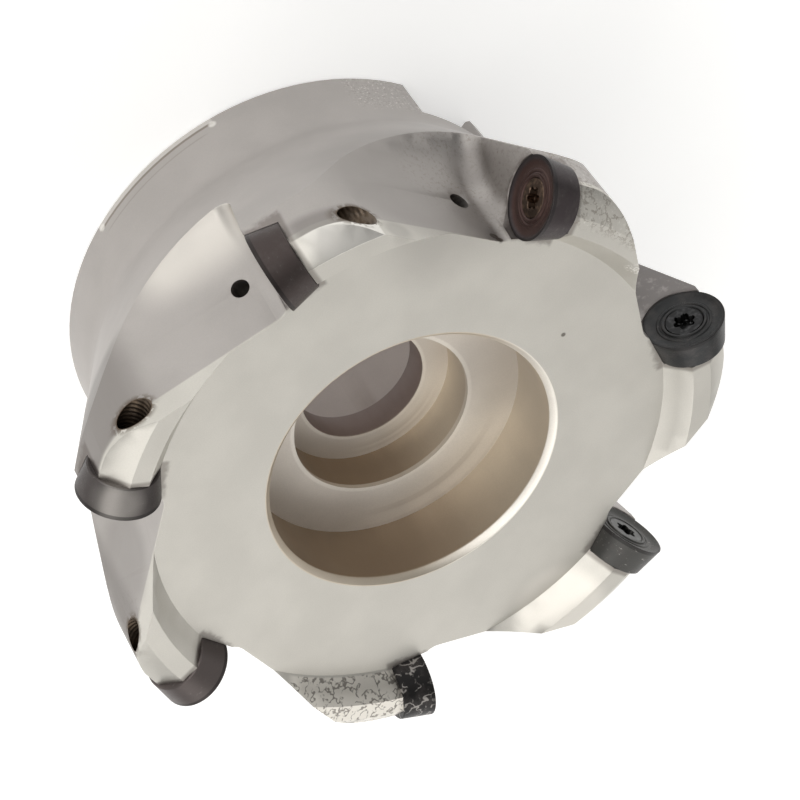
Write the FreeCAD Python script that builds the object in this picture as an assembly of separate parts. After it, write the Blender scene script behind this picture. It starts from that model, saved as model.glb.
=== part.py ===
# Right-hand indexable face mill with seven round inserts, each screwed into a pocket of its own.
# Origin on the bore axis at the hub's back face, +Z towards the cutting face, millimetres.
import FreeCAD, Part
import math
import os

# Cutting circle
tooth_count = 7
first_tooth_angle = 17.4
cutting_diameter = 100.0
overall_height = 50.0
axial_rake = 3.7

# Round inserts, measured on the rake face unless named otherwise
insert_diameter = 12.0
insert_thickness = 4.76
insert_relief = 11.0
dish_width = 1.7
dish_depth = 0.45
insert_hole_diameter = 4.4
countersink_diameter = 5.9
countersink_half_angle = 30.0

# Insert pockets, with a hole right through the tooth for the insert's screw
pocket_clearance = 0.03
screw_diameter = 4.0
thread_clearance = 0.05

# Head: the teeth end in a raised ring around the flat front face
face_drop = 4.6
ring_drop = 1.0
ring_slope_width = 3.0
crest_inset = 1.8
ring_top_outset = 1.0
head_inset = 1.5
ring_chamfer_height = 2.8
head_band_height = 7.5
head_taper = 25.5
flare_radius = 12.0

# Hub and arbor seat
hub_diameter = 71.0
hub_chamfer = 0.6
bore_diameter = 32.0
bore_depth = 22.0
bore_chamfer = 0.5
web_thickness = 4.8
web_hole_diameter = 19.0
screw_seat_diameter = 27.0
recess_diameter = 43.0
recess_depth = 11.5
recess_chamfer = 0.8
drive_slot_width = 14.4
drive_slot_depth = 8.0

# Gullets
gullet_depth = 12.8
gullet_axial_rake = 2.0
gullet_corner_radius = 2.8
gullet_floor_lean = 3.0
gullet_runout_radius = 20.0
gullet_runout_start = 9.0
gullet_runout_angle = 45.0
tooth_back_radius = 12.0

# Coolant holes, from the gullet floors to the arbor bore
coolant_diameter = 2.7
coolant_offset = 4.8
coolant_drop = 9.6
coolant_exit_depth = 1.9

# How far the solids that only cut reach past what they cut
overrun = 1.0

# Levels and radii worked out from the sizes above
insert_radius = insert_diameter / 2
insert_centre_radius = cutting_diameter / 2 - insert_radius
insert_centre_height = overall_height - insert_radius
seat_radius = insert_radius - insert_thickness * math.tan(math.radians(insert_relief))
hub_radius = hub_diameter / 2
bore_radius = bore_diameter / 2
recess_radius = recess_diameter / 2
face_height = overall_height - face_drop
ring_height = overall_height - ring_drop
crest_radius = insert_centre_radius - crest_inset
face_radius = crest_radius - ring_slope_width
ring_top_radius = insert_centre_radius + ring_top_outset
head_radius = cutting_diameter / 2 - head_inset
band_top = ring_height - ring_chamfer_height
band_bottom = band_top - head_band_height
recess_floor = face_height - recess_depth
web_top = bore_depth + web_thickness
gullet_floor_radius = cutting_diameter / 2 - gullet_depth
clear_radius = cutting_diameter / 2 + 2 * overrun

X = FreeCAD.Vector(1, 0, 0)
Y = FreeCAD.Vector(0, 1, 0)
Z = FreeCAD.Vector(0, 0, 1)
ORIGIN = FreeCAD.Vector(0, 0, 0)


def radial(r, z):
    return FreeCAD.Vector(r, 0, z)


def flat(x, y):
    return FreeCAD.Vector(x, y, 0)


def polygon(points):
    return [Part.LineSegment(a, b).toShape() for a, b in zip(points[:-1], points[1:])]


def revolved(edges, axis):
    return Part.Face(Part.Wire(edges)).revolve(ORIGIN, axis, 360)


def at_tooth(shape, index):
    # In the tooth's frame x runs out through the insert centre and y runs the way the cutter turns.
    placed = shape.copy()
    placed.rotate(ORIGIN, Z, first_tooth_angle + index * 360 / tooth_count)
    return placed


def at_insert(shape, index):
    # In the insert's frame the origin is the centre of the rake face and y points out of it.
    placed = shape.copy()
    placed.rotate(ORIGIN, X, -axial_rake)
    placed.translate(radial(insert_centre_radius, insert_centre_height))
    return at_tooth(placed, index)


def flare():
    # Arc tangent to the hub and to the taper of the head.
    angle = math.radians(head_taper)
    meet = band_bottom - (head_radius - hub_radius) / math.tan(angle)
    tangent = flare_radius * math.tan(angle / 2)
    start = radial(hub_radius, meet - tangent)
    middle = radial(hub_radius + flare_radius * (1 - math.cos(angle / 2)),
                    meet - tangent + flare_radius * math.sin(angle / 2))
    end = radial(hub_radius + tangent * math.sin(angle), meet + tangent * math.cos(angle))
    return start, middle, end


def blank():
    # The turned body, before the teeth are milled.
    start, middle, end = flare()
    back = [radial(bore_radius + bore_chamfer, 0),
            radial(hub_radius - hub_chamfer, 0),
            radial(hub_radius, hub_chamfer),
            start]
    front = [end,
             radial(head_radius, band_bottom),
             radial(head_radius, band_top),
             radial(ring_top_radius, ring_height),
             radial(crest_radius, ring_height),
             radial(face_radius, face_height),
             radial(recess_radius + recess_chamfer, face_height),
             radial(recess_radius, face_height - recess_chamfer),
             radial(recess_radius, recess_floor),
             radial(screw_seat_diameter / 2, recess_floor),
             radial(screw_seat_diameter / 2, web_top),
             radial(web_hole_diameter / 2, web_top),
             radial(web_hole_diameter / 2, bore_depth),
             radial(bore_radius, bore_depth),
             radial(bore_radius, bore_chamfer),
             radial(bore_radius + bore_chamfer, 0)]
    arc = Part.Arc(start, middle, end).toShape()
    return revolved(polygon(back) + [arc] + polygon(front), Z)


def arc_by(centre, radius, first, last):
    angles = [math.radians(first), math.radians((first + last) / 2), math.radians(last)]
    points = [centre + flat(math.cos(a), math.sin(a)) * radius for a in angles]
    return Part.Arc(*points).toShape()


def gullet_section():
    # Rake wall, rounded corner, flat floor and the rounded back of the next tooth.
    corner = gullet_corner_radius
    back = tooth_back_radius
    lean = math.radians(gullet_floor_lean)
    along = flat(math.sin(lean), math.cos(lean))
    outward = flat(math.cos(lean), -math.sin(lean))
    foot = flat(gullet_floor_radius, 0)
    corner_centre = foot + outward * corner + along * (corner * (1 + math.sin(lean)) / math.cos(lean))
    # The back arc touches the floor line and, from inside, the circle of the head's band.
    offset = foot.dot(outward) - back
    reach = math.sqrt((head_radius - back) ** 2 - offset ** 2)
    back_centre = outward * offset + along * reach
    turn = math.atan2(back_centre.y, back_centre.x)
    touch = flat(math.cos(turn), math.sin(turn)) * head_radius
    leave = touch + flat(-math.sin(turn), math.cos(turn)) * back
    outer = polygon([touch, leave, flat(clear_radius, leave.y), flat(clear_radius, 0),
                     corner_centre - Y * corner])
    floor = Part.LineSegment(corner_centre - outward * corner, back_centre + outward * back).toShape()
    return Part.Face(Part.Wire([arc_by(corner_centre, corner, 270, 180 - gullet_floor_lean),
                                floor,
                                arc_by(back_centre, back, -gullet_floor_lean, math.degrees(turn))] + outer))


def gullet():
    # The section runs straight down from the front and then swings outward to leave the head.
    start = face_height - gullet_runout_start
    section = gullet_section()
    section.translate(Z * start)
    straight = section.extrude(Z * (overall_height + overrun - start))
    centre = FreeCAD.Vector(gullet_floor_radius + gullet_runout_radius, 0, start)
    runout = section.revolve(centre, Y * -1, gullet_runout_angle)
    milled = straight.fuse(runout).removeSplitter()
    milled.rotate(radial(0, insert_centre_height), X, -gullet_axial_rake)
    return milled


def pocket():
    # Conical seat for the insert, with the screw's threaded hole through the tooth.
    mouth = insert_radius + pocket_clearance + overrun * math.tan(math.radians(insert_relief))
    cone = Part.makeCone(seat_radius + pocket_clearance, mouth, insert_thickness + overrun,
                         Y * -insert_thickness, Y)
    hole = Part.makeCylinder(screw_diameter / 2 + thread_clearance, 2 * insert_diameter, ORIGIN, Y * -1)
    return cone.fuse(hole)


def coolant_hole():
    # Drilled from the gullet floor to just below the flat end of the arbor bore.
    mouth = FreeCAD.Vector(gullet_floor_radius, coolant_offset, face_height - coolant_drop)
    inner = FreeCAD.Vector(bore_radius, coolant_offset, bore_depth - coolant_exit_depth)
    run = inner - mouth
    extra = run * (coolant_diameter / run.Length)
    return Part.makeCylinder(coolant_diameter / 2, run.Length + 2 * extra.Length, mouth - extra, run)


def drive_slots():
    # One slot for each of the arbor's two drive keys, through the hub wall.
    across = 2 * (hub_radius + overrun)
    base = FreeCAD.Vector(-across / 2, -drive_slot_width / 2, -overrun)
    return Part.makeBox(across, drive_slot_width, drive_slot_depth + overrun, base)


def cutter_body():
    body = blank().cut(drive_slots())
    cuts = []
    for index in range(tooth_count):
        cuts.append(at_tooth(gullet(), index))
        cuts.append(at_tooth(coolant_hole(), index))
        cuts.append(at_insert(pocket(), index))
    for tool in cuts:
        body = body.cut(tool)
    return body.removeSplitter()


def insert():
    # Turned profile: chip-forming dish and countersunk hole on the rake side, flat seat behind.
    countersink = countersink_diameter / 2
    hole = insert_hole_diameter / 2
    cone_end = -dish_depth - (countersink - hole) / math.tan(math.radians(countersink_half_angle))
    points = [flat(insert_radius, 0),
              flat(insert_radius - dish_width, -dish_depth),
              flat(countersink, -dish_depth),
              flat(hole, cone_end),
              flat(hole, -insert_thickness),
              flat(seat_radius, -insert_thickness),
              flat(insert_radius, 0)]
    return revolved(polygon(points), Y)


os.makedirs("parts", exist_ok=True)
cutter_body().exportStep("parts/cutter_body.step")
inserts = [at_insert(insert(), index) for index in range(tooth_count)]
Part.makeCompound(inserts).exportStep("parts/inserts.step")
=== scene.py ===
import bpy
import bmesh
import math
from mathutils import Matrix, Vector
from types import SimpleNamespace


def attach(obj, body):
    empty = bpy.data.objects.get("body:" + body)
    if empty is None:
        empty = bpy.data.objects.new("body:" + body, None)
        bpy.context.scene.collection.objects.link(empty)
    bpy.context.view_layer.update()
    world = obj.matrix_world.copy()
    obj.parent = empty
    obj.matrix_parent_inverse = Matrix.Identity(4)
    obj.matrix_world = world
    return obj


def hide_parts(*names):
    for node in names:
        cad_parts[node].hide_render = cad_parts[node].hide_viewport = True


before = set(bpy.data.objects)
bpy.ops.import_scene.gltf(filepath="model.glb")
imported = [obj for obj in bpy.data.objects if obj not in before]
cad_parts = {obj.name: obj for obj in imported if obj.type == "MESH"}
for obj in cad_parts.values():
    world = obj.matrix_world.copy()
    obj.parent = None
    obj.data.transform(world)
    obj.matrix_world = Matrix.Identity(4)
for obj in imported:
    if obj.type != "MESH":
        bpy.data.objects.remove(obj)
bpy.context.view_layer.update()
mm = 0.001

toothCount = 7
firstToothAngle = math.radians(17.4)    # direction of the first insert's centre
toothPitch = 2 * math.pi / toothCount
insertCentre = Vector((44.0, 0.0, 44.0)) * mm
axialRake = math.radians(3.7)
threadPitch = 0.7                       # of the insert screws, in millimetres


def insertPlace(index):
    # the insert's own frame has its origin on the rake face and y pointing out of it
    turn = Matrix.Rotation(firstToothAngle + index * toothPitch, 4, "Z")
    return turn @ Matrix.Translation(insertCentre) @ Matrix.Rotation(-axialRake, 4, "X")


def addNode(tree, kind, inputs=None, **settings):
    node = tree.nodes.new("ShaderNode" + kind)
    for name, value in settings.items():
        setattr(node, name, value)
    connect(tree, node, inputs or {})
    return node


def connect(tree, node, inputs):
    # a socket is linked to its input, and a plain value is set on it
    for place, value in inputs.items():
        if isinstance(value, bpy.types.NodeSocket):
            tree.links.new(value, node.inputs[place])
        else:
            node.inputs[place].default_value = value


def calc(tree, operation, first, second=0.0, third=0.0):
    return addNode(tree, "Math", {0: first, 1: second, 2: third}, operation=operation).outputs[0]


def times(tree, *factors):
    product = factors[0]
    for factor in factors[1:]:
        product = calc(tree, "MULTIPLY", product, factor)
    return product


def ramp(tree, value, low, high, start=0.0, end=1.0):
    # smooth step from start to end as the value goes from low to high
    inputs = {"Value": value, "From Min": low, "From Max": high, "To Min": start, "To Max": end}
    return addNode(tree, "MapRange", inputs, interpolation_type="SMOOTHSTEP").outputs["Result"]


def fall(tree, value, low, high):
    return ramp(tree, value, low, high, 1.0, 0.0)


def within(tree, value, low, high, soft):
    # 1 between low and high, with a soft step outside each
    return times(tree, ramp(tree, value, low - soft, low), fall(tree, value, high, high + soft))


def tinted(tree, share, under, over, blend="MIX"):
    node = tree.nodes.new("ShaderNodeMix")
    node.data_type = "RGBA"
    node.blend_type = blend
    connect(tree, node, {0: share, 6: under, 7: over})
    return node.outputs[2]


def lay(tree, under, over, *shares):
    # lays one colour over another, as strongly as the product of the shares
    return tinted(tree, times(tree, *shares), under, over)


def millimetres(tree):
    coords = addNode(tree, "TexCoord").outputs["Object"]
    return addNode(tree, "VectorMath", {0: coords, "Scale": 1 / mm}, operation="SCALE").outputs[0]


def noise(tree, place, scale, detail=2.0, roughness=0.5):
    # the scale is per millimetre
    inputs = {"Vector": place, "Scale": scale, "Detail": detail, "Roughness": roughness}
    return addNode(tree, "TexNoise", inputs).outputs["Fac"]


def veins(tree, place, scale, width, detail, roughness=0.6, core=0.3):
    # thin wandering lines, 1 on a line's core and 0 away from it
    value = noise(tree, place, scale, detail, roughness)
    away = calc(tree, "ABSOLUTE", calc(tree, "SUBTRACT", value, 0.5))
    return fall(tree, away, core * width, width)


def spot(tree, place, centre, size, soft):
    # one round mark of the given radius in millimetres, with a soft rim
    far = addNode(tree, "VectorMath", {0: place, 1: centre}, operation="DISTANCE").outputs["Value"]
    return fall(tree, far, size, size + soft)


def joined(tree, x, y, z=0.0):
    return addNode(tree, "CombineXYZ", {0: x, 1: y, 2: z}).outputs[0]


def lengthOf(tree, vector):
    return addNode(tree, "VectorMath", {0: vector}, operation="LENGTH").outputs["Value"]


def toothCoords(tree, radius, azimuth, height):
    # the same point as seen from the frame of its own tooth, with x out through the insert
    half = toothPitch / 2
    turned = calc(tree, "SUBTRACT", azimuth, firstToothAngle - half)
    local = calc(tree, "SUBTRACT", calc(tree, "FLOORED_MODULO", turned, toothPitch), half)
    outward = times(tree, radius, calc(tree, "COSINE", local))
    return joined(tree, outward, times(tree, radius, calc(tree, "SINE", local)), height)


def insertCoords(tree, tooth):
    # the tooth's point in the frame of its insert, tipped by the axial rake
    inputs = {0: tooth, 1: insertCentre / mm}
    moved = addNode(tree, "VectorMath", inputs, operation="SUBTRACT").outputs[0]
    inputs = {"Vector": moved, "Angle": axialRake}
    tipped = addNode(tree, "VectorRotate", inputs, rotation_type="X_AXIS").outputs[0]
    return addNode(tree, "SeparateXYZ", {0: tipped}).outputs


def cutterCoords(tree):
    # a point's place in millimetres and radians, round the cutter's axis and round its insert's own
    place = millimetres(tree)
    x, y, height = addNode(tree, "SeparateXYZ", {0: place}).outputs
    radius = lengthOf(tree, joined(tree, x, y))
    azimuth = calc(tree, "ARCTAN2", y, x)
    own = insertCoords(tree, toothCoords(tree, radius, azimuth, height))
    fromAxis = lengthOf(tree, joined(tree, own[0], own[2]))
    return SimpleNamespace(place=place, radius=radius, azimuth=azimuth, height=height,
                           own=own, depth=own[1], fromAxis=fromAxis)


def newMaterial(name):
    material = bpy.data.materials.new(name)
    material.use_nodes = True
    return material, material.node_tree, material.node_tree.nodes["Principled BSDF"]


# Steps are (from, to), some with the two values there, and zones are (low, high, soft rim): in millimetres,
# in radians round the axis, or of a noise. Sides are (azimuth, and the cosines of the angle from it where
# the share starts and is full). Noises are (scale, detail, roughness), veins (scale, width, detail), and
# round marks (centre, radius, soft rim, share).
bodyLook = {
    # the front face and the sides are lit and shaded tones of one metal: painted light
    "litFaceColour": (0.60, 0.58, 0.535, 1),
    "shadedSideColour": (0.443, 0.418, 0.400, 1),
    "ledgeColour": (0.69, 0.64, 0.58, 1),
    "wallColour": (0.62, 0.54, 0.43, 1),
    # dark brown for the walls' painted shade and for the turning tool's rings
    "wallShadeAndToolMarkColour": (0.28, 0.205, 0.14, 1),
    "webColour": (0.33, 0.265, 0.245, 1),
    # painted light in the bore behind the web
    "litBoreColour": (0.62, 0.56, 0.525, 1),
    "creamColour": (0.93, 0.89, 0.82, 1),
    "brightColour": (0.88, 0.86, 0.82, 1),
    # painted shade on patches, on the second tooth's band and on the flanks
    "paintedShadeColour": (0.25, 0.232, 0.22, 1),
    "smokeColour": (0.13, 0.12, 0.12, 1),
    "sootColour": (0.10, 0.075, 0.065, 1),
    # rust brown for specks and hole rims, and painted shade inside the screw holes
    "rustAndHoleShadeColour": (0.115, 0.085, 0.06, 1),
    "veinColour": (0.20, 0.165, 0.13, 1),
    "pitColour": (0.10, 0.085, 0.07, 1),

    "metallic": (1.0, 0.6),                 # outside, and in the oily recess
    "roughness": (0.46, 0.50),              # outside, and in the recess
    "roughnessSpread": 0.12,
    "wornRoughness": 0.8,                   # of the edges, as a share of the rest
    "edgeBevel": 0.16 * mm,
    "edgeSegments": 2,
    "edgeAngle": math.radians(22),
    "weldDistance": 0.001 * mm,

    "cloud": (0.11, 3.0, 0.5),
    "grain": (5.0, 3.0, 0.6),
    "turned": (3.0, 2.0, 0.6),
    "blotch": (0.9, 4.0, 0.6),
    "fleck": (2.6, 3.0, 0.7),
    "speck": (1.7, 5.0, 0.75),
    "cloudShadeStep": (0.3, 0.7, 0.96, 1.03),
    "grainShadeStep": (0.3, 0.7, 0.97, 1.03),
    "frontStep": (45.0, 45.35),             # from the sides' tone to the front face's
    "outsideStep": (43.0, 45.0),            # out to the backs of the teeth

    # the recess
    "recessStep": (21.4, 22.6),
    "boreStep": (16.2, 16.8),
    "boreEndStep": (21.9, 22.1),
    "ledgeTurn": (0.25, 0.75),              # how far a ledge's face is turned to the front
    # painted shade on the recess walls on one side and painted light on the ledges on another
    "wallShadeSide": (math.radians(198), 0.1, 1.0),
    "wallShadeShare": 0.9,
    "ledgeLitSide": (math.radians(262), 0.45, 0.95),
    "ledgeLitShare": 0.6,
    "toolMarkSide": (math.radians(250), 0.70, 1.0),
    "toolMarkNoise": (0.45, 2.0),
    "toolMarkStep": (0.47, 0.60),
    "toolMarkShare": 0.2,
    # painted highlight and painted shade on the mouth's chamfer, and painted highlights on the ledges' inner
    # edges
    "chamferZone": (21.45, 22.4, 0.1),
    "chamferStep": (44.3, 44.6),
    "chamferLitSide": (math.radians(300), 0.1, 0.8),
    "chamferShadeShare": 0.75,
    "lipHighlights": [((13.5, 13.9, 0.35), (33.2, 34.2, 0.2)), ((9.5, 9.8, 0.35), (26.2, 27.2, 0.2))],
    "lipHighlightShare": 0.5,
    "webStep": (9.8, 10.4),
    "webZone": (22.1, 26.5, 0.3),

    # general wear, painted highlights and painted shade
    "speckStep": (0.50, 0.66),
    "speckled": [((36.0, 14.5, 31.0), 6.0, 6.0, 0.35), ((35.3, 12.9, 41.4), 1.5, 1.5, 0.45),
                 ((-41.2, 20.0, 42.0), 3.0, 4.0, 0.40)],
    # round patches painted lighter as painted highlights, and darker as painted shade
    "highlightPatches": [((-11.0, -40.0, 48.3), 5.0, 3.0, 0.40)],
    "shadePatches": [((33.0, 24.0, 34.0), 9.0, 8.0, 0.40), ((35.5, 14.0, 40.0), 3.0, 3.0, 0.45),
               ((30.4, 30.9, 47.2), 1.2, 1.5, 0.35), ((37.6, 12.5, 29.5), 2.0, 3.0, 0.60),
               ((-34.4, 24.1, 38.0), 5.0, 4.0, 0.45), ((14.0, -11.5, 36.0), 5.0, 7.0, 0.27)],
    # painted highlight on the run-out of the second gullet
    "runoutSpot": ((8.5, 39.8, 26.0), 6.0, 7.0),
    "runoutTurn": (0.02, 0.15),             # the run-out faces forwards and the hub doesn't
    "runoutStep": (27.0, 34.0),
    "runoutHighlightShare": 0.5,
    # painted highlight on the second tooth's chamfer, painted shade on its band and on the flanks of the
    # third and fourth
    "bandStep": (44.8, 45.0),
    "secondChamferZone": (0.86, 1.0, 0.12),
    "secondChamferStep": (46.15, 46.3),
    "secondBandZone": (0.90, 1.06, 0.06),
    "secondBandStep": (42.0, 44.0),
    "secondHighlightAndShadeShare": 0.75,
    "flankZone": (1.80, 2.95, 0.12),
    "flankTopStep": (45.3, 46.0),
    "flankFootStep": (18.0, 30.0),
    "flankShadeShare": 0.8,

    # round the inserts and their screws
    "sootReach": 1.6,                       # how far the blotches push the soot's rim
    "sootStep": (6.6, 7.6, 0.5, 0.0),
    "sootZone": (-5.2, 0.8, 0.6),
    # painted shade inside the screw holes
    "holeStep": (2.12, 2.2),
    "holeMouthStep": (-4.9, -4.8),
    "holeShadeShare": 0.9,
    "rimStep": (2.1, 3.1),
    "rimDepthStep": (-6.5, -6.0),
    "rimBlotchStep": (0.42, 0.52),
    "rimShare": 0.7,
    "smokeSpot": ((37.0, -25.4, 35.5), 5.0, 4.5),
    "smokeBlotchStep": (0.25, 0.5, 0.5, 1.0),
    "smokeShare": 0.7,

    # the first and the fifth tooth
    "firstZone": (-0.16, 0.27, 0.05),
    "firstFootStep": (33.0, 36.0),
    "firstVeins": (0.45, 0.03, 5.0),
    "firstVeinShare": 0.5,
    "firstFleckStep": (0.55, 0.70),
    "firstFleckShare": 0.4,
    "fifthZone": (-2.92, -2.50, 0.04),
    "fifthStep": (45.5, 45.8),
    "fifthPaleShare": 0.6,
    "fifthVeins": (0.55, 0.05, 2.0),
    "fifthBlotchStep": (0.38, 0.52),
    "fifthVeinShare": 0.7,

    # the hub's rim
    "hubStep": (35.2, 35.4),
    "hubEndStep": (35.8, 36.2),
    "patchZone": (0.10, 0.47, 0.07),
    "patchTopStep": (7.0, 9.5),
    "patchBrightStep": (0.57, 0.70),
    "patchBrightShare": 0.7,
    "patchDarkStep": (0.34, 0.45),
    "patchDarkShare": 0.4,
    "scribeZone": (1.08, 1.72, 0.01),
    "scribeBandStep": (1.45, 1.55),
    "scribeBandShare": 0.35,
    "scribeLineZone": (1.5, 1.8, 0.15),
    "scribeLineShare": 0.65,
    "faintZone": (1.15, 1.66, 0.05),
    "faintLineZone": (3.1, 3.2, 0.15),
    "faintLineShare": 0.25,
    "nicks": [((-4.9, 35.1, 1.4), 0.35, 0.45, 0.65), ((16.7, 31.3, 1.9), 0.35, 0.45, 0.65)],

    # the front face and its edge
    "pits": [((26.9, -6.7, 45.4), 0.22, 0.25, 0.8), ((34.7, 14.1, 44.1), 0.5, 0.25, 0.8),
             ((34.9, 13.6, 44.9), 0.4, 0.25, 0.8)],
    "chipSpot": ((41.2, -6.6, 48.4), 1.0, 1.0),
    "chipStep": (0.48, 0.54),

    "bumpStrength": 0.25,
    "bumpDistance": 0.2 * mm,
    "grainHeight": 0.10,
    "ringHeight": 0.05,
    "threadHeight": 3.0,
    "rubbedHeight": -0.35,
}


def towards(tree, at, side):
    # rises towards one side of the cutter
    azimuth, low, high = side
    return ramp(tree, calc(tree, "COSINE", calc(tree, "SUBTRACT", at.azimuth, azimuth)), low, high)


def spots(tree, at, metal, marks, colour, *shares):
    for centre, size, soft, share in marks:
        metal = lay(tree, metal, colour, spot(tree, at.place, centre, size, soft), *shares, share)
    return metal


def recessColour(tree, at):
    # the walls are painted darker on one side, painted shade, and the ledges lighter on another, painted
    # light
    look = bodyLook
    wall = lay(tree, look["wallColour"], look["wallShadeAndToolMarkColour"],
               towards(tree, at, look["wallShadeSide"]), look["wallShadeShare"])
    ledge = lay(tree, look["ledgeColour"], look["creamColour"],
                towards(tree, at, look["ledgeLitSide"]), look["ledgeLitShare"])
    # dark rings from the turning tool, where the ledges catch the light
    marks = ramp(tree, noise(tree, at.rings, *look["toolMarkNoise"]), *look["toolMarkStep"])
    ledge = lay(tree, ledge, look["wallShadeAndToolMarkColour"],
                towards(tree, at, look["toolMarkSide"]), marks, look["toolMarkShare"])
    # ledges that face forwards are lighter than the browner walls: the brown is the walls' own tone, the
    # lightness partly painted light
    return tinted(tree, ramp(tree, at.forward, *look["ledgeTurn"]), wall, ledge)


def recessEdges(tree, at, metal):
    # painted highlights on the turned edges: the mouth's chamfer, lit on one side and painted shade on the
    # other, and the inner edges of the two ledges
    look = bodyLook
    lit = towards(tree, at, look["chamferLitSide"])
    chamfer = times(tree, within(tree, at.radius, *look["chamferZone"]),
                    ramp(tree, at.height, *look["chamferStep"]))
    metal = lay(tree, metal, look["creamColour"], chamfer, lit)
    unlit = calc(tree, "SUBTRACT", 1.0, lit)
    metal = lay(tree, metal, look["wallColour"], chamfer, unlit, look["chamferShadeShare"])
    upper, lower = [times(tree, within(tree, at.radius, *across), within(tree, at.height, *along))
                    for across, along in look["lipHighlights"]]
    metal = lay(tree, metal, look["creamColour"], calc(tree, "MAXIMUM", upper, lower), look["lipHighlightShare"])
    # the web's edge, and the bore behind it painted lighter as painted light where it lies in shade
    metal = lay(tree, metal, look["webColour"], fall(tree, at.radius, *look["webStep"]),
                within(tree, at.height, *look["webZone"]))
    return lay(tree, metal, look["litBoreColour"], fall(tree, at.radius, *look["boreStep"]),
               fall(tree, at.height, *look["boreEndStep"]))


def shaded(tree, metal, grains):
    # slow clouds and a fine grain in the brightness
    look = bodyLook
    shade = times(tree, ramp(tree, grains.cloud, *look["cloudShadeStep"]),
                  ramp(tree, grains.grain, *look["grainShadeStep"]))
    grey = addNode(tree, "CombineColor", {0: shade, 1: shade, 2: shade}).outputs[0]
    return tinted(tree, 1.0, metal, grey, "MULTIPLY")


def wearAndPaintedLight(tree, at, metal):
    look = bodyLook
    # dried coolant has left brown specks, and round patches are painted lighter as painted highlights and
    # darker as painted shade
    specks = ramp(tree, noise(tree, at.place, *look["speck"]), *look["speckStep"])
    metal = spots(tree, at, metal, look["speckled"], look["rustAndHoleShadeColour"], specks)
    metal = spots(tree, at, metal, look["highlightPatches"], look["creamColour"])
    metal = spots(tree, at, metal, look["shadePatches"], look["paintedShadeColour"])
    # the run-out of the gullet after the second tooth is painted lighter up to its edge on the hub: a painted
    # highlight
    metal = lay(tree, metal, look["creamColour"], spot(tree, at.place, *look["runoutSpot"]),
                ramp(tree, at.forward, *look["runoutTurn"]), fall(tree, at.height, *look["runoutStep"]),
                look["runoutHighlightShare"])
    # so is the second tooth's chamfer, while its band and the flanks of the third and fourth are painted
    # darker as painted shade
    onBand = ramp(tree, at.radius, *look["bandStep"])
    above = ramp(tree, at.height, *look["secondChamferStep"])
    metal = lay(tree, metal, look["brightColour"], within(tree, at.azimuth, *look["secondChamferZone"]),
                onBand, above, look["secondHighlightAndShadeShare"])
    metal = lay(tree, metal, look["paintedShadeColour"], calc(tree, "SUBTRACT", 1.0, above),
                ramp(tree, at.height, *look["secondBandStep"]),
                within(tree, at.azimuth, *look["secondBandZone"]), onBand, look["secondHighlightAndShadeShare"])
    return lay(tree, metal, look["paintedShadeColour"], within(tree, at.azimuth, *look["flankZone"]),
               ramp(tree, at.radius, *look["outsideStep"]), fall(tree, at.height, *look["flankTopStep"]),
               ramp(tree, at.height, *look["flankFootStep"]), look["flankShadeShare"])


def pocketWearAndShade(tree, at, grains, metal, hole):
    # soot and burnt oil close round each insert, and painted shade inside the hole for its screw
    look = bodyLook
    reach = calc(tree, "MULTIPLY_ADD", grains.blotch, look["sootReach"], at.fromAxis)
    metal = lay(tree, metal, look["sootColour"], ramp(tree, reach, *look["sootStep"]),
                within(tree, at.depth, *look["sootZone"]))
    return lay(tree, metal, look["rustAndHoleShadeColour"], hole, look["holeShadeShare"])


def firstToothWear(tree, at, grains, metal, firstBack):
    # brown veins and pale flecks on the outside of the first tooth, where it has rubbed
    look = bodyLook
    metal = lay(tree, metal, look["veinColour"], firstBack, veins(tree, at.place, *look["firstVeins"]),
                look["firstVeinShare"])
    return lay(tree, metal, look["brightColour"], firstBack,
               ramp(tree, grains.fleck, *look["firstFleckStep"]), look["firstFleckShare"])


def hubWear(tree, at, grains, metal, hubPatch):
    # sparkling rough patch on the hub's rim
    look = bodyLook
    metal = lay(tree, metal, look["brightColour"], hubPatch,
                ramp(tree, grains.fleck, *look["patchBrightStep"]), look["patchBrightShare"])
    metal = lay(tree, metal, look["veinColour"], hubPatch,
                fall(tree, grains.fleck, *look["patchDarkStep"]), look["patchDarkShare"])
    # bright band under a scribed line with a nick at each end, and a fainter line above them
    band = within(tree, at.azimuth, *look["scribeZone"])
    metal = lay(tree, metal, look["brightColour"], band, fall(tree, at.height, *look["scribeBandStep"]),
                look["scribeBandShare"])
    metal = lay(tree, metal, look["veinColour"], band, within(tree, at.height, *look["scribeLineZone"]),
                look["scribeLineShare"])
    metal = lay(tree, metal, look["veinColour"], within(tree, at.azimuth, *look["faintZone"]),
                within(tree, at.height, *look["faintLineZone"]), look["faintLineShare"])
    return spots(tree, at, metal, look["nicks"], look["brightColour"])


def faceWear(tree, at, grains, metal):
    # a dark pit on the front face, two beside the first insert, and a chipped edge on the first tooth
    look = bodyLook
    metal = spots(tree, at, metal, look["pits"], look["pitColour"])
    metal = lay(tree, metal, look["brightColour"], spot(tree, at.place, *look["chipSpot"]),
                ramp(tree, grains.fleck, *look["chipStep"]))
    # wavy scratches across the front slope of the fifth tooth
    fifth = times(tree, within(tree, at.azimuth, *look["fifthZone"]),
                  ramp(tree, at.height, *look["fifthStep"]))
    metal = lay(tree, metal, look["creamColour"], fifth, look["fifthPaleShare"])
    return lay(tree, metal, look["pitColour"], fifth, veins(tree, at.place, *look["fifthVeins"]),
               ramp(tree, grains.blotch, *look["fifthBlotchStep"]), look["fifthVeinShare"])


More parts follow.
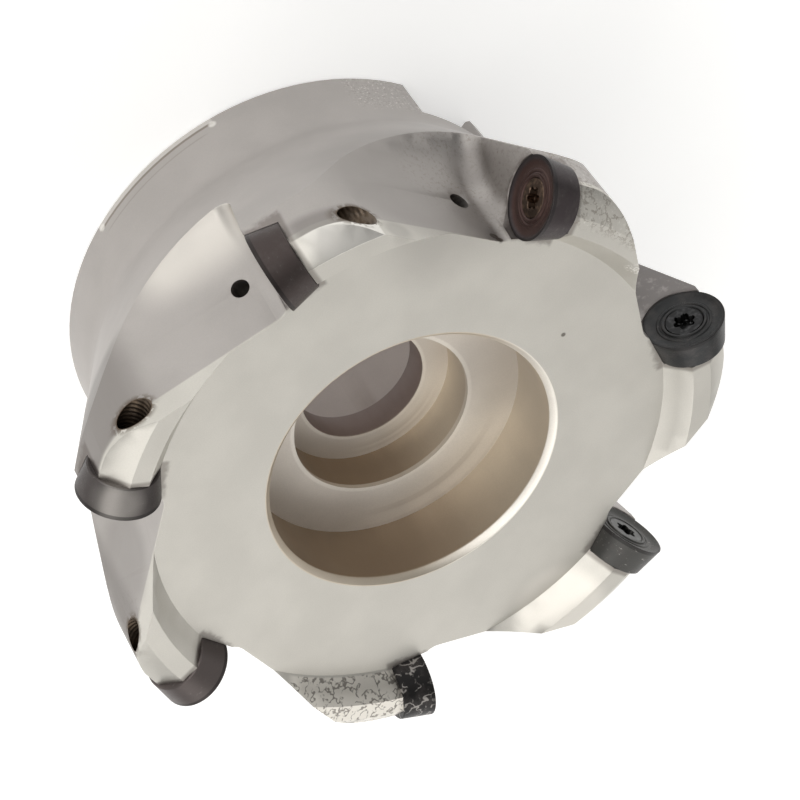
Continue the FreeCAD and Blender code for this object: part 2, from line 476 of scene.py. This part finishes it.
def smokeWear(tree, at, grains, metal):
    # dark smoke on the wall behind the seventh insert and round the open ends of the screw holes
    look = bodyLook
    metal = lay(tree, metal, look["smokeColour"], spot(tree, at.place, *look["smokeSpot"]),
                ramp(tree, grains.blotch, *look["smokeBlotchStep"]), look["smokeShare"])
    return lay(tree, metal, look["rustAndHoleShadeColour"], fall(tree, at.fromAxis, *look["rimStep"]),
               fall(tree, at.depth, *look["rimDepthStep"]),
               ramp(tree, grains.blotch, *look["rimBlotchStep"]), look["rimShare"])


def bodyHeight(tree, at, grains, hole, rubbed):
    # grain and turning rings all over, threads in the screw holes and roughness where it has rubbed
    look = bodyLook
    height = times(tree, grains.grain, look["grainHeight"])
    height = calc(tree, "MULTIPLY_ADD", grains.turned, look["ringHeight"], height)
    spin = calc(tree, "DIVIDE", calc(tree, "ARCTAN2", at.own[2], at.own[0]), 2 * math.pi)
    turns = calc(tree, "ADD", calc(tree, "DIVIDE", at.depth, threadPitch), spin)
    thread = times(tree, calc(tree, "PINGPONG", turns, 0.5), hole)
    height = calc(tree, "MULTIPLY_ADD", thread, look["threadHeight"], height)
    return calc(tree, "MULTIPLY_ADD", times(tree, grains.fleck, rubbed), look["rubbedHeight"], height)


def bodyMaterial(name, worn):
    look = bodyLook
    material, tree, shader = newMaterial(name)
    at = cutterCoords(tree)
    at.rings = joined(tree, at.radius, at.height)
    normal = addNode(tree, "TexCoord").outputs["Normal"]
    at.forward = addNode(tree, "SeparateXYZ", {0: normal}).outputs[2]
    grains = SimpleNamespace(
        cloud=noise(tree, at.place, *look["cloud"]),
        grain=noise(tree, at.place, *look["grain"]),
        turned=noise(tree, at.rings, *look["turned"]),
        blotch=noise(tree, at.place, *look["blotch"]),
        fleck=noise(tree, at.place, *look["fleck"]))

    inRecess = fall(tree, at.radius, *look["recessStep"])
    hole = times(tree, fall(tree, at.fromAxis, *look["holeStep"]),
                 fall(tree, at.depth, *look["holeMouthStep"]))
    firstBack = times(tree, within(tree, at.azimuth, *look["firstZone"]),
                      ramp(tree, at.radius, *look["outsideStep"]),
                      ramp(tree, at.height, *look["firstFootStep"]))
    hubPatch = times(tree, ramp(tree, at.radius, *look["hubStep"]),
                     within(tree, at.azimuth, *look["patchZone"]),
                     fall(tree, at.height, *look["patchTopStep"]),
                     fall(tree, at.radius, *look["hubEndStep"]))

    # the front face is painted lighter than the sides and the hub, painted light for how the light falls on
    # each
    onFace = ramp(tree, at.height, *look["frontStep"])
    metal = tinted(tree, onFace, look["shadedSideColour"], look["litFaceColour"])
    metal = tinted(tree, inRecess, metal, recessColour(tree, at))
    metal = recessEdges(tree, at, metal)
    metal = shaded(tree, metal, grains)
    metal = wearAndPaintedLight(tree, at, metal)
    metal = pocketWearAndShade(tree, at, grains, metal, hole)
    metal = firstToothWear(tree, at, grains, metal, firstBack)
    metal = hubWear(tree, at, grains, metal, hubPatch)
    metal = faceWear(tree, at, grains, metal)
    metal = smokeWear(tree, at, grains, metal)

    rough = ramp(tree, inRecess, 0.0, 1.0, *look["roughness"])
    if worn:
        rough = times(tree, rough, look["wornRoughness"])
    uneven = calc(tree, "SUBTRACT", grains.grain, 0.5)
    height = bodyHeight(tree, at, grains, hole, calc(tree, "ADD", firstBack, hubPatch))
    bump = addNode(tree, "Bump", {"Strength": look["bumpStrength"], "Distance": look["bumpDistance"],
                                  "Height": height})
    connect(tree, shader, {
        "Base Color": metal,
        "Metallic": ramp(tree, inRecess, 0.0, 1.0, *look["metallic"]),
        "Roughness": calc(tree, "MULTIPLY_ADD", uneven, look["roughnessSpread"], rough),
        "Normal": bump.outputs[0],
    })
    return material


def dressBody():
    look = bodyLook
    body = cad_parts["cutter_body"]
    body.data.materials.clear()
    body.data.materials.append(bodyMaterial("satinNickelSteel", False))
    body.data.materials.append(bodyMaterial("wornEdgeSteel", True))
    weld = body.modifiers.new("weld", "WELD")
    weld.merge_threshold = look["weldDistance"]
    bevel = body.modifiers.new("edges", "BEVEL")
    bevel.width = look["edgeBevel"]
    bevel.segments = look["edgeSegments"]
    bevel.limit_method = "ANGLE"
    bevel.angle_limit = look["edgeAngle"]
    bevel.material = 1                      # the worn steel
    bevel.use_clamp_overlap = True
    bevel.harden_normals = True


insertLook = {
    # the turned profile, in millimetres
    "radius": 6.0,
    "relief": math.radians(11),
    "thickness": 4.76,
    "hone": 0.05,
    "honeEdge": 0.015,
    "landWidth": 0.35,
    "landDrop": 0.03,
    "grooveWidth": 1.25,
    "grooveDepth": 0.42,
    "grooveSteps": 8,
    "ringStep": [(4.15, -0.45), (4.0, -0.33), (3.75, -0.33), (3.6, -0.45), (3.4, -0.4), (3.3, -0.17),
                 (3.22, -0.15), (3.0, -0.15), (2.95, -0.18)],
    "holeRadius": 2.2,
    "coneHalfAngle": math.radians(30),
    "seatBevel": (0.2, 0.15),
    "steps": 96,
    "mergeDistance": 0.0005 * mm,
    "splitAngle": 35,

    "streakColour": (0.105, 0.092, 0.088, 1),
    "flankHighlightColour": (0.34, 0.32, 0.30, 1),
    "scratchColour": (0.55, 0.52, 0.49, 1),
    "dishColour": (0.075, 0.036, 0.028, 1),
    "rimColour": (0.016, 0.014, 0.014, 1),
    "metallic": 0.7,
    "roughness": (0.37, 0.50),
    "blotch": (0.45, 5.0, 0.65),
    "fine": (5.0, 3.0, 0.6),
    "fineStep": (0.3, 0.7),
    "scratch": (2.4, 3.0, 0.7),
    "scratchSqueeze": 0.35,                 # the scratches run along the edge
    "rakeStep": (-0.65, -0.55),
    "blotchStep": (0.42, 0.72, 0.0, 0.35),
    "scratchStep": (0.60, 0.74),
    "scratchBlotchStep": (0.45, 0.60),
    "scratchShare": 0.45,
    "scribble": (0.42, 0.035, 2.0),
    "scribbleBlotchStep": (0.42, 0.52),
    # a painted highlight on the third insert's flank
    "flankHighlightSpot": ((-21.6, 41.0, 49.2), 1.6, 3.2),   # pale bloom on the flank of the third insert
    "flankHighlightShare": 0.8,
    "dishStep": (5.0, 5.6),
    "dishShare": 0.7,
    "rimStep": (5.5, 5.8),
    "rimShare": 0.6,
    "bumpStrength": 0.15,
    "bumpDistance": 0.1 * mm,
}


# the colour of each insert and its screw, and how streaked, scribbled and browned it has become in use
insertWear = [
    {"colour": (0.050, 0.040, 0.042, 1), "screw": (0.085, 0.058, 0.042, 1), "streak": 0.25, "brown": 1.0},
    {"colour": (0.070, 0.055, 0.052, 1), "screw": (0.050, 0.044, 0.040, 1), "streak": 0.30, "brown": 0.3},
    {"colour": (0.070, 0.060, 0.058, 1), "screw": (0.050, 0.044, 0.040, 1), "streak": 0.50, "brown": 0.1},
    {"colour": (0.110, 0.092, 0.088, 1), "screw": (0.050, 0.044, 0.040, 1), "streak": 0.50, "brown": 0.2},
    {"colour": (0.016, 0.015, 0.015, 1), "screw": (0.040, 0.036, 0.034, 1), "streak": 1.00, "scribble": 0.55},
    {"colour": (0.075, 0.074, 0.070, 1), "screw": (0.035, 0.035, 0.033, 1), "streak": 2.00},
    {"colour": (0.036, 0.037, 0.038, 1), "screw": (0.032, 0.032, 0.033, 1), "streak": 0.20},
]


def insertColour(tree, at, wear):
    look = insertLook
    blotch = noise(tree, at.place, *look["blotch"])
    # grey streaks, scratches along the edge and on one insert a scribble of lines
    tone = tinted(tree, ramp(tree, blotch, *look["blotchStep"]), wear["colour"], look["streakColour"])
    rows = joined(tree, times(tree, at.own[0], look["scratchSqueeze"]), at.own[1], at.own[2])
    scratch = noise(tree, rows, *look["scratch"])
    tone = lay(tree, tone, look["scratchColour"], ramp(tree, scratch, *look["scratchStep"]),
               ramp(tree, blotch, *look["scratchBlotchStep"]), wear["streak"] * look["scratchShare"])
    tone = lay(tree, tone, look["scratchColour"], veins(tree, at.place, *look["scribble"]),
               ramp(tree, blotch, *look["scribbleBlotchStep"]), wear.get("scribble", 0.0))
    # painted highlight on the third insert's flank
    tone = lay(tree, tone, look["flankHighlightColour"], spot(tree, at.place, *look["flankHighlightSpot"]),
               look["flankHighlightShare"])
    # browned dish and dark rim on the rake face
    rake = ramp(tree, at.depth, *look["rakeStep"])
    tone = lay(tree, tone, look["dishColour"], rake, fall(tree, at.fromAxis, *look["dishStep"]),
               wear.get("brown", 0.0) * look["dishShare"])
    return lay(tree, tone, look["rimColour"], rake, ramp(tree, at.fromAxis, *look["rimStep"]),
               look["rimShare"])


def insertMaterial(index):
    look = insertLook
    material, tree, shader = newMaterial("coatedCarbide_%d" % (index + 1))
    at = cutterCoords(tree)
    fine = noise(tree, at.place, *look["fine"])
    bump = addNode(tree, "Bump", {"Strength": look["bumpStrength"], "Distance": look["bumpDistance"],
                                  "Height": fine})
    connect(tree, shader, {
        "Base Color": insertColour(tree, at, insertWear[index]),
        "Metallic": look["metallic"],
        "Roughness": ramp(tree, fine, *look["fineStep"], *look["roughness"]),
        "Normal": bump.outputs[0],
    })
    return material


def newPiece(name, work, place, material, splitAngle):
    # turns the finished work into an object in the cutter's frame, with crisp edges
    bmesh.ops.recalc_face_normals(work, faces=work.faces)
    bmesh.ops.transform(work, matrix=place, verts=work.verts)
    for face in work.faces:
        face.smooth = True
    mesh = bpy.data.meshes.new(name)
    work.to_mesh(mesh)
    work.free()
    mesh.materials.append(material)
    piece = bpy.data.objects.new(name, mesh)
    bpy.context.scene.collection.objects.link(piece)
    piece.modifiers.new("sharp", "EDGE_SPLIT").split_angle = math.radians(splitAngle)
    return piece


def insertProfile():
    # (radius, y) points from the cutting edge inwards, down the hole and back out along the seat
    look = insertLook
    rim, depth = look["radius"], look["thickness"]
    seat = rim - depth * math.tan(look["relief"])
    land = rim - look["landWidth"]
    points = [(rim - look["honeEdge"], -look["hone"]), (rim - look["hone"], 0.0),
              (land, -look["landDrop"])]
    for step in range(look["grooveSteps"]):
        share = (step + 1) / look["grooveSteps"]
        points.append((land - look["grooveWidth"] * share,
                       -look["landDrop"] - look["grooveDepth"] * math.sin(share * math.pi / 2)))
    points += look["ringStep"]
    collar, top = points[-1]
    slope = math.tan(look["coneHalfAngle"])
    points.append((look["holeRadius"], top - (collar - look["holeRadius"]) / slope))
    across, along = look["seatBevel"]
    return points + [(look["holeRadius"], -depth), (seat - across, -depth), (seat, -depth + along)]


def makeInserts():
    for index in range(toothCount):
        # a closed profile spun about the insert's own y axis
        work = bmesh.new()
        points = [work.verts.new((radius * mm, height * mm, 0)) for radius, height in insertProfile()]
        edges = [work.edges.new(pair) for pair in zip(points, points[1:] + points[:1])]
        bmesh.ops.spin(work, geom=points + edges, cent=(0, 0, 0), axis=(0, 1, 0), angle=2 * math.pi,
                       steps=insertLook["steps"], use_merge=True)
        bmesh.ops.remove_doubles(work, verts=work.verts, dist=insertLook["mergeDistance"])
        piece = newPiece("roundInsert_%d" % (index + 1), work, insertPlace(index), insertMaterial(index),
                         insertLook["splitAngle"])
        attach(piece, "root")
        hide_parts("inserts")


screwLook = {
    "headTop": -0.25,           # height over the insert's rake face
    "headRadius": 2.82,
    "headEdge": 0.12,
    "coneHalfAngle": math.radians(30),
    "coreRadius": 1.60,
    "threadRadius": 1.98,
    "threadCrest": (0.4, 0.6),  # where the crest starts and ends in one pitch
    "threadTurns": 10,
    "plainNeck": 0.5,
    "socketTip": 1.64,
    "socketWaist": 1.16,
    "socketDepth": 1.35,
    "socketMouthBevel": 0.1,
    "socketFloorBevel": (0.14, 0.12),
    "lobes": 6,
    "lobeSharpness": 1.4,
    "steps": 72,
    "mergeDistance": 0.005 * mm,
    "splitAngle": 40,
    "metallic": 1.0,
    "roughness": 0.3,
    "blotch": (1.3, 4.0),
    "blotchStep": (0.45, 0.7),
    "paleGain": 2.2,
}


def screwMaterial(index):
    look = screwLook
    material, tree, shader = newMaterial("screwSteel_%d" % (index + 1))
    colour = insertWear[index]["screw"]
    pale = [look["paleGain"] * channel for channel in colour[:3]] + [1]
    blotch = noise(tree, millimetres(tree), *look["blotch"])
    connect(tree, shader, {
        "Base Color": tinted(tree, ramp(tree, blotch, *look["blotchStep"]), colour, pale),
        "Metallic": look["metallic"],
        "Roughness": look["roughness"],
    })
    return material


def setOut(verts, outline, height):
    # moves the points to an outline round the y axis, at one height, in millimetres
    for vert in verts:
        angle = math.atan2(vert.co.z, vert.co.x)
        radius = outline(angle) if callable(outline) else outline
        vert.co = Vector((radius * math.cos(angle), height, radius * math.sin(angle))) * mm


def nextRing(work, edges, outline, height):
    grown = bmesh.ops.extrude_edge_only(work, edges=edges)["geom"]
    setOut([part for part in grown if isinstance(part, bmesh.types.BMVert)], outline, height)
    return [part for part in grown if isinstance(part, bmesh.types.BMEdge) and part.is_boundary]


def socketOutline(angle):
    # rounded lobes with wide hollows between them
    look = screwLook
    lobe = abs(math.cos(look["lobes"] / 2 * angle)) ** look["lobeSharpness"]
    return look["socketWaist"] + (look["socketTip"] - look["socketWaist"]) * lobe


def screwHead(work):
    # from the socket's mouth down its wall to the floor, and from the mouth out over the head to the neck
    look = screwLook
    top, floor = look["headTop"], look["headTop"] - look["socketDepth"]
    cone = (look["headRadius"] - look["coreRadius"]) / math.tan(look["coneHalfAngle"])
    neck = top - look["headEdge"] - cone
    mouthBevel = look["socketMouthBevel"]
    floorAcross, floorAlong = look["socketFloorBevel"]
    mouth = bmesh.ops.create_circle(work, segments=look["steps"], radius=1.0)["verts"]
    upright = Matrix.Rotation(math.pi / 2, 3, "X")
    bmesh.ops.rotate(work, verts=mouth, cent=(0, 0, 0), matrix=upright)
    setOut(mouth, lambda angle: socketOutline(angle) + mouthBevel, top)
    rim = list({edge for vert in mouth for edge in vert.link_edges})
    wall = nextRing(work, rim, socketOutline, top - mouthBevel)
    wall = nextRing(work, wall, socketOutline, floor + floorAlong)
    wall = nextRing(work, wall, lambda angle: socketOutline(angle) - floorAcross, floor)
    bmesh.ops.edgeloop_fill(work, edges=wall)
    side = nextRing(work, rim, look["headRadius"] - look["headEdge"], top)
    side = nextRing(work, side, look["headRadius"], top - look["headEdge"])
    side = nextRing(work, side, look["coreRadius"], neck)
    nextRing(work, side, look["coreRadius"], neck - look["plainNeck"])
    return neck - look["plainNeck"]


def screwThread(work, start):
    # one pitch of the thread's outline, wound so that each turn joins the next
    look = screwLook
    core, crest = look["coreRadius"], look["threadRadius"]
    crestStart, crestEnd = [share * threadPitch for share in look["threadCrest"]]
    outline = [(core, 0.0), (crest, crestStart), (crest, crestEnd), (core, threadPitch)]
    points = [work.verts.new((radius * mm, (start - drop) * mm, 0)) for radius, drop in outline]
    edges = [work.edges.new(pair) for pair in zip(points, points[1:])]
    steps = look["steps"]
    bmesh.ops.spin(work, geom=points + edges, cent=(0, 0, 0), axis=(0, 1, 0),
                   dvec=(0, -threadPitch / steps * mm, 0), angle=2 * math.pi * look["threadTurns"],
                   steps=steps * look["threadTurns"])
    bmesh.ops.remove_doubles(work, verts=work.verts, dist=look["mergeDistance"])


def makeScrews():
    for index in range(toothCount):
        work = bmesh.new()
        screwThread(work, screwHead(work))
        # closes the neck and both ends of the thread
        bmesh.ops.holes_fill(work, edges=[edge for edge in work.edges if edge.is_boundary], sides=0)
        screw = newPiece("insertScrew_%d" % (index + 1), work, insertPlace(index), screwMaterial(index),
                         screwLook["splitAngle"])
        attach(screw, "root")


stageLook = {
    "floorSize": 6.0,
    "floorColour": (0.80, 0.80, 0.79, 1),
    "floorRoughness": 0.9,
    "floorGlow": 0.46,          # what the camera and reflections see besides the lit colour
    "worldColour": (1.0, 0.99, 0.97, 1),
    "worldStrength": 0.05,
}


def makeFloor():
    look = stageLook
    work = bmesh.new()
    bmesh.ops.create_grid(work, x_segments=1, y_segments=1, size=look["floorSize"] / 2)
    mesh = bpy.data.meshes.new("floor")
    work.to_mesh(mesh)
    work.free()
    floor = bpy.data.objects.new("floor", mesh)
    bpy.context.scene.collection.objects.link(floor)
    material, tree, shader = newMaterial("paleFloor")
    rays = addNode(tree, "LightPath").outputs
    mirrored = calc(tree, "MAXIMUM", rays["Is Glossy Ray"], rays["Is Transmission Ray"])
    seen = calc(tree, "MAXIMUM", rays["Is Camera Ray"], mirrored)
    connect(tree, shader, {
        "Base Color": look["floorColour"],
        "Roughness": look["floorRoughness"],
        "Emission Color": (1, 1, 1, 1),
        "Emission Strength": times(tree, seen, look["floorGlow"]),
    })
    mesh.materials.append(material)


def makeWorld():
    world = bpy.data.worlds.new("studio")
    bpy.context.scene.world = world
    world.use_nodes = True
    back = world.node_tree.nodes["Background"]
    back.inputs["Color"].default_value = stageLook["worldColour"]
    back.inputs["Strength"].default_value = stageLook["worldStrength"]


softboxLook = {
    "size": 0.8,
    "tint": (1.0, 0.99, 0.97),
    "distance": 1.0,            # from the middle of the cutter
    "aim": Vector((0, 0, 25)) * mm,
}

# two rows of softboxes: azimuth and height in degrees, then watts
softboxes = {
    "lowFront": (60, 15, 2.0),
    "lowLeft": (180, 15, 1.5),
    "lowBackLeft": (240, 15, 1.75),
    "lowBackRight": (300, 15, 1.4),
    "highFront": (90, 45, 3.8),
    "highLeft": (150, 45, 2.65),
    "highBackLeft": (210, 45, 2.15),
    "highBack": (270, 45, 1.25),
    "highRight": (335, 45, 0.9),
}


def makeLamps():
    look = softboxLook
    for name, (azimuth, height, watts) in softboxes.items():
        data = bpy.data.lights.new(name, "AREA")
        data.shape = "DISK"
        data.size = look["size"]
        data.energy = watts
        data.color = look["tint"]
        lamp = bpy.data.objects.new(name, data)
        around = Matrix.Rotation(math.radians(azimuth), 3, "Z")
        raised = Matrix.Rotation(-math.radians(height), 3, "Y")
        lamp.location = look["aim"] + around @ raised @ Vector((look["distance"], 0, 0))
        lamp.rotation_euler = (look["aim"] - lamp.location).to_track_quat("-Z", "Y").to_euler()
        bpy.context.scene.collection.objects.link(lamp)


cameraLook = {
    "at": Vector((150.1, 335.3, 396.6)) * mm,
    "right": Vector((0.6065, -0.6903, 0.3944)),
    "up": Vector((0.7423, 0.3138, -0.5920)),
    "lens": 162.4,
    "sensorWidth": 36,
    "clip": (0.01, 20),
}


def makeCamera():
    look = cameraLook
    data = bpy.data.cameras.new("photoCamera")
    data.lens = look["lens"]
    data.sensor_width = look["sensorWidth"]
    data.clip_start, data.clip_end = look["clip"]
    camera = bpy.data.objects.new("photoCamera", data)
    right = look["right"].normalized()
    back = right.cross(look["up"]).normalized()
    up = back.cross(right)
    turn = Matrix((right, up, back)).transposed().to_4x4()
    camera.matrix_world = Matrix.Translation(look["at"]) @ turn
    bpy.context.scene.collection.objects.link(camera)
    bpy.context.scene.camera = camera


dressBody()
print("body dressed")
makeInserts()
print("inserts made")
makeScrews()
print("screws made")
makeFloor()
makeWorld()
makeLamps()
makeCamera()
print("stage, lamps and camera placed")
bpy.context.scene.view_settings.view_transform = "Standard"
